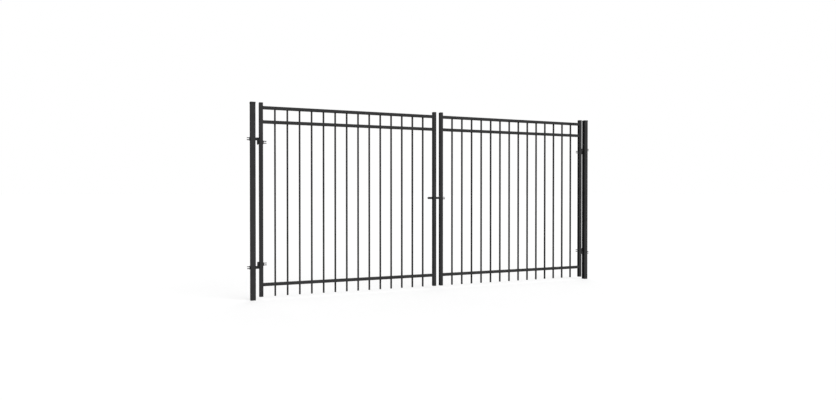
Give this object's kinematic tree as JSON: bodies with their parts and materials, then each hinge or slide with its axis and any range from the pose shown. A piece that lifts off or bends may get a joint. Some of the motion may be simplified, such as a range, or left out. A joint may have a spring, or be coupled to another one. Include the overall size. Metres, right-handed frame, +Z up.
{
  "type": "double-leaf driveway gate",
  "caption": "Double-leaf steel driveway gate between its two square posts, with square pickets, flat punched rails, adjustable pin hinges and a sliding latch bar.",
  "frame": {"origin": "centre of the left post's foot, at ground level", "axes": "+X along the gateway to the right post, +Y through the gateway away from the side the picture shows, +Z up"},
  "size_m": [4.2307, 0.0536, 1.9967],
  "materials": {
    "post_coat": "satin black powder coat on steel",
    "leaf_coat": "satin black powder coat on steel",
    "cap_coat": "satin black powder coat on pressed caps",
    "hinge_steel": "black coated steel, satin, worn at the threads",
    "fastener_steel": "black zinc plated",
    "latch_steel": "black coated steel, rubbed bright along the slide",
    "keeper_zinc": "dull zinc plated"
  },
  "bodies": {
    "posts": {"left_post": "post_coat", "left_post_cap": "cap_coat", "left_lower_pintle": "hinge_steel", "left_upper_pintle": "hinge_steel", "right_post": "post_coat", "right_post_cap": "cap_coat", "right_lower_pintle": "hinge_steel", "right_upper_pintle": "hinge_steel"},
    "left_leaf": {"left_hinge_stile": "leaf_coat", "left_hinge_stile_cap": "cap_coat", "left_latch_stile": "leaf_coat", "left_latch_stile_cap": "cap_coat", "left_top_rail": "leaf_coat", "left_second_rail": "leaf_coat", "left_bottom_rail": "leaf_coat", "left_pickets": "leaf_coat", "left_lower_eye": "hinge_steel", "left_upper_eye": "hinge_steel"},
    "right_leaf": {"right_hinge_stile": "leaf_coat", "right_hinge_stile_cap": "cap_coat", "right_latch_stile": "leaf_coat", "right_latch_stile_cap": "cap_coat", "right_top_rail": "leaf_coat", "right_second_rail": "leaf_coat", "right_bottom_rail": "leaf_coat", "right_pickets": "leaf_coat", "right_lower_eye": "hinge_steel", "right_upper_eye": "hinge_steel", "latch_keeper": "keeper_zinc"},
    "latch_bolt": {"latch_bar": "latch_steel"}
  },
  "joints": [
    {"name": "left_leaf_swing", "type": "hinge", "parent": "posts", "child": "left_leaf", "pos_m": [0.0509, 0, 0.361], "axis": [0, 0, 1], "range_deg": [-90, 90]},
    {"name": "right_leaf_swing", "type": "hinge", "parent": "posts", "child": "right_leaf", "pos_m": [4.065, 0, 0.361], "axis": [0, 0, -1], "range_deg": [-90, 90]},
    {"name": "latch_slide", "type": "slide", "parent": "left_leaf", "child": "latch_bolt", "axis": [1, 0, 0], "range_m": [0, 0.05]}
  ]
}
